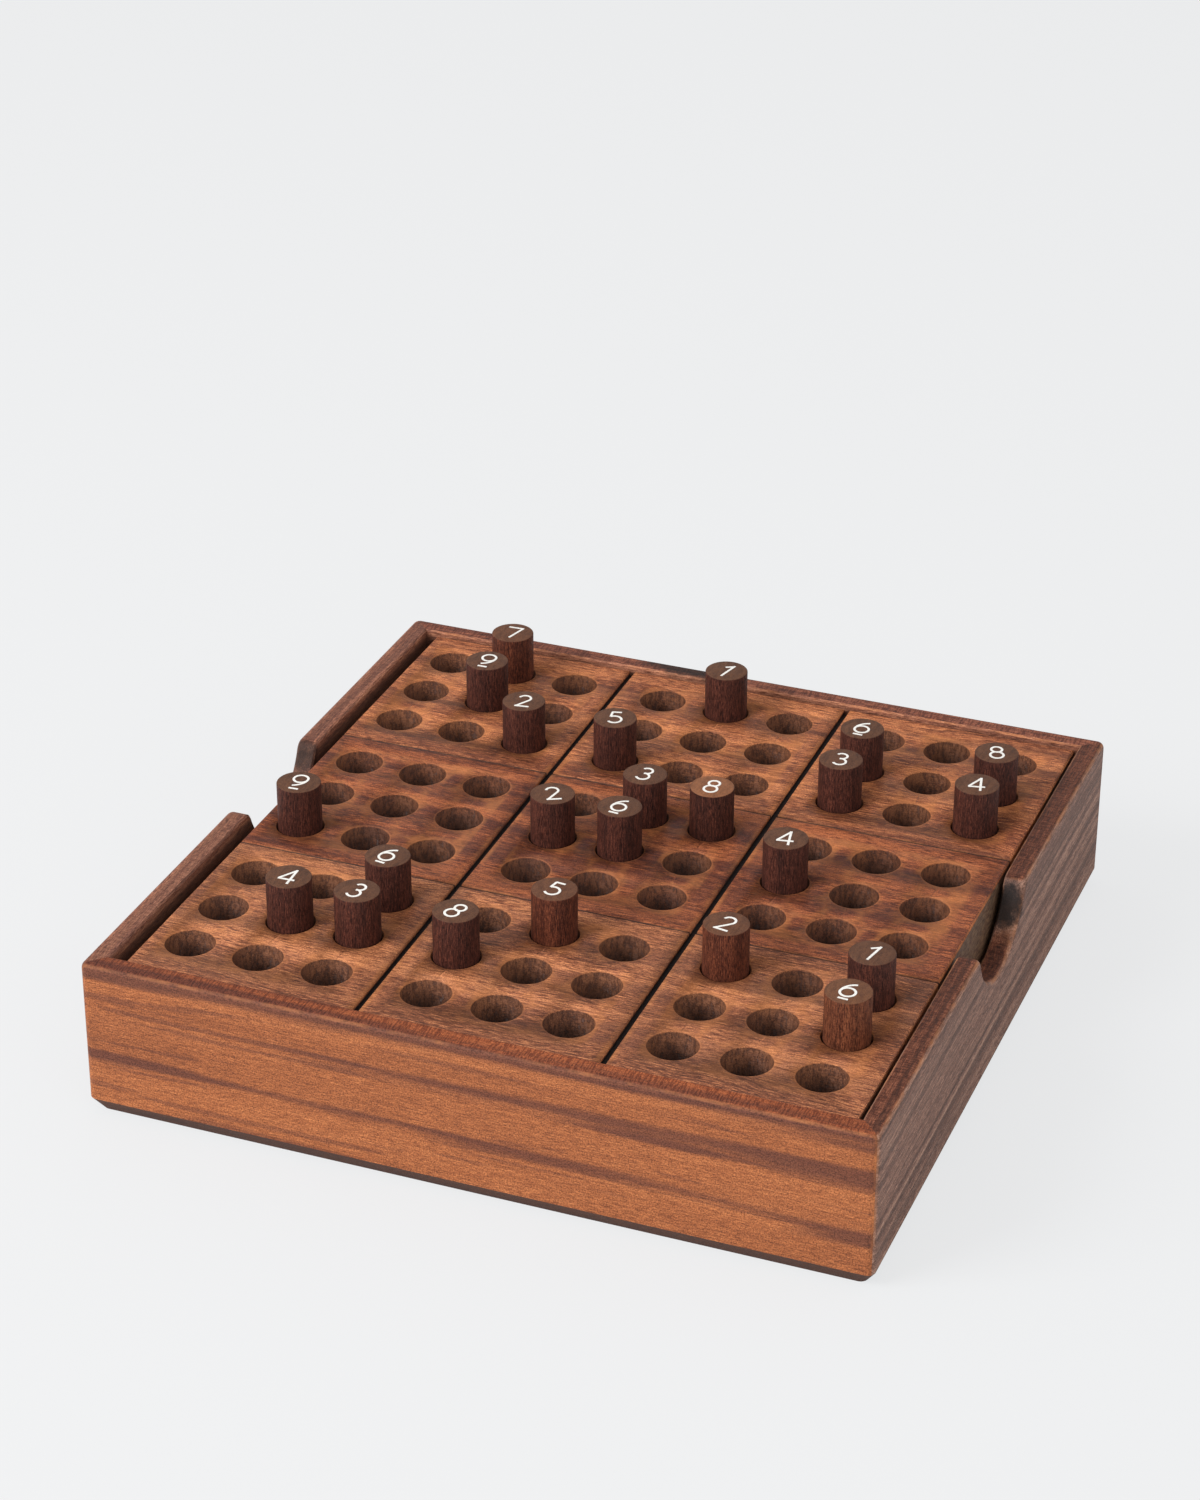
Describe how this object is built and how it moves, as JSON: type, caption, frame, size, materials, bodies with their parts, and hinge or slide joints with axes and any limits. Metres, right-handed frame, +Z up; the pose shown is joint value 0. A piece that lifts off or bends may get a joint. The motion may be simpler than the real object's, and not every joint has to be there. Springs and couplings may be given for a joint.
{
  "type": "wooden sudoku board",
  "caption": "Square wooden box with a lift-out peg board for sudoku, numbered dowel pegs standing in its holes and spare pegs stored below.",
  "frame": {"origin": "centre of the underside, on the surface that the box stands on", "axes": "+Z up, -Y towards the player at the plain front wall, +X to the player's right"},
  "size_m": [0.1764, 0.1766, 0.0472],
  "materials": {
    "box_wood": "oiled, satin",
    "base_wood": "bare, matt",
    "front_stave_wood": "oiled, satin",
    "middle_stave_wood": "oiled, satin",
    "back_stave_wood": "oiled, satin",
    "peg_wood": "dark stained, satin"
  },
  "bodies": {
    "box": {"back_wall": "box_wood", "base_panel": "base_wood", "front_wall": "box_wood", "left_ledge": "base_wood", "left_wall": "box_wood", "right_ledge": "base_wood", "right_wall": "box_wood", "stored_eights": "peg_wood", "stored_fives": "peg_wood", "stored_fours": "peg_wood", "stored_nines": "peg_wood", "stored_ones": "peg_wood", "stored_sevens": "peg_wood", "stored_sixes": "peg_wood", "stored_threes": "peg_wood", "stored_twos": "peg_wood"},
    "board": {"front_stave": "front_stave_wood", "middle_stave": "middle_stave_wood", "back_stave": "back_stave_wood"},
    "peg_r1c2": {"peg_r1c2_7": "peg_wood"},
    "peg_r1c5": {"peg_r1c5_1": "peg_wood"},
    "peg_r2c2": {"peg_r2c2_9": "peg_wood"},
    "peg_r2c7": {"peg_r2c7_6": "peg_wood"},
    "peg_r2c9": {"peg_r2c9_8": "peg_wood"},
    "peg_r3c3": {"peg_r3c3_2": "peg_wood"},
    "peg_r3c4": {"peg_r3c4_5": "peg_wood"},
    "peg_r3c7": {"peg_r3c7_3": "peg_wood"},
    "peg_r3c9": {"peg_r3c9_4": "peg_wood"},
    "peg_r4c5": {"peg_r4c5_3": "peg_wood"},
    "peg_r4c6": {"peg_r4c6_8": "peg_wood"},
    "peg_r5c4": {"peg_r5c4_2": "peg_wood"},
    "peg_r5c5": {"peg_r5c5_6": "peg_wood"},
    "peg_r5c7": {"peg_r5c7_4": "peg_wood"},
    "peg_r6c1": {"peg_r6c1_9": "peg_wood"},
    "peg_r7c3": {"peg_r7c3_6": "peg_wood"},
    "peg_r7c5": {"peg_r7c5_5": "peg_wood"},
    "peg_r7c7": {"peg_r7c7_2": "peg_wood"},
    "peg_r7c9": {"peg_r7c9_1": "peg_wood"},
    "peg_r8c2": {"peg_r8c2_4": "peg_wood"},
    "peg_r8c3": {"peg_r8c3_3": "peg_wood"},
    "peg_r8c4": {"peg_r8c4_8": "peg_wood"},
    "peg_r8c9": {"peg_r8c9_6": "peg_wood"}
  },
  "joints": [
    {"name": "lift_board", "type": "slide", "parent": "box", "child": "board", "axis": [0, 0, 1], "range_m": [0, 0.05]},
    {"name": "pull_r1c2", "type": "slide", "parent": "board", "child": "peg_r1c2", "axis": [0, 0, 1], "range_m": [0, 0.03]},
    {"name": "pull_r1c5", "type": "slide", "parent": "board", "child": "peg_r1c5", "axis": [0, 0, 1], "range_m": [0, 0.03]},
    {"name": "pull_r2c2", "type": "slide", "parent": "board", "child": "peg_r2c2", "axis": [0, 0, 1], "range_m": [0, 0.03]},
    {"name": "pull_r2c7", "type": "slide", "parent": "board", "child": "peg_r2c7", "axis": [0, 0, 1], "range_m": [0, 0.03]},
    {"name": "pull_r2c9", "type": "slide", "parent": "board", "child": "peg_r2c9", "axis": [0, 0, 1], "range_m": [0, 0.03]},
    {"name": "pull_r3c3", "type": "slide", "parent": "board", "child": "peg_r3c3", "axis": [0, 0, 1], "range_m": [0, 0.03]},
    {"name": "pull_r3c4", "type": "slide", "parent": "board", "child": "peg_r3c4", "axis": [0, 0, 1], "range_m": [0, 0.03]},
    {"name": "pull_r3c7", "type": "slide", "parent": "board", "child": "peg_r3c7", "axis": [0, 0, 1], "range_m": [0, 0.03]},
    {"name": "pull_r3c9", "type": "slide", "parent": "board", "child": "peg_r3c9", "axis": [0, 0, 1], "range_m": [0, 0.03]},
    {"name": "pull_r4c5", "type": "slide", "parent": "board", "child": "peg_r4c5", "axis": [0, 0, 1], "range_m": [0, 0.03]},
    {"name": "pull_r4c6", "type": "slide", "parent": "board", "child": "peg_r4c6", "axis": [0, 0, 1], "range_m": [0, 0.03]},
    {"name": "pull_r5c4", "type": "slide", "parent": "board", "child": "peg_r5c4", "axis": [0, 0, 1], "range_m": [0, 0.03]},
    {"name": "pull_r5c5", "type": "slide", "parent": "board", "child": "peg_r5c5", "axis": [0, 0, 1], "range_m": [0, 0.03]},
    {"name": "pull_r5c7", "type": "slide", "parent": "board", "child": "peg_r5c7", "axis": [0, 0, 1], "range_m": [0, 0.03]},
    {"name": "pull_r6c1", "type": "slide", "parent": "board", "child": "peg_r6c1", "axis": [0, 0, 1], "range_m": [0, 0.03]},
    {"name": "pull_r7c3", "type": "slide", "parent": "board", "child": "peg_r7c3", "axis": [0, 0, 1], "range_m": [0, 0.03]},
    {"name": "pull_r7c5", "type": "slide", "parent": "board", "child": "peg_r7c5", "axis": [0, 0, 1], "range_m": [0, 0.03]},
    {"name": "pull_r7c7", "type": "slide", "parent": "board", "child": "peg_r7c7", "axis": [0, 0, 1], "range_m": [0, 0.03]},
    {"name": "pull_r7c9", "type": "slide", "parent": "board", "child": "peg_r7c9", "axis": [0, 0, 1], "range_m": [0, 0.03]},
    {"name": "pull_r8c2", "type": "slide", "parent": "board", "child": "peg_r8c2", "axis": [0, 0, 1], "range_m": [0, 0.03]},
    {"name": "pull_r8c3", "type": "slide", "parent": "board", "child": "peg_r8c3", "axis": [0, 0, 1], "range_m": [0, 0.03]},
    {"name": "pull_r8c4", "type": "slide", "parent": "board", "child": "peg_r8c4", "axis": [0, 0, 1], "range_m": [0, 0.03]},
    {"name": "pull_r8c9", "type": "slide", "parent": "board", "child": "peg_r8c9", "axis": [0, 0, 1], "range_m": [0, 0.03]}
  ]
}
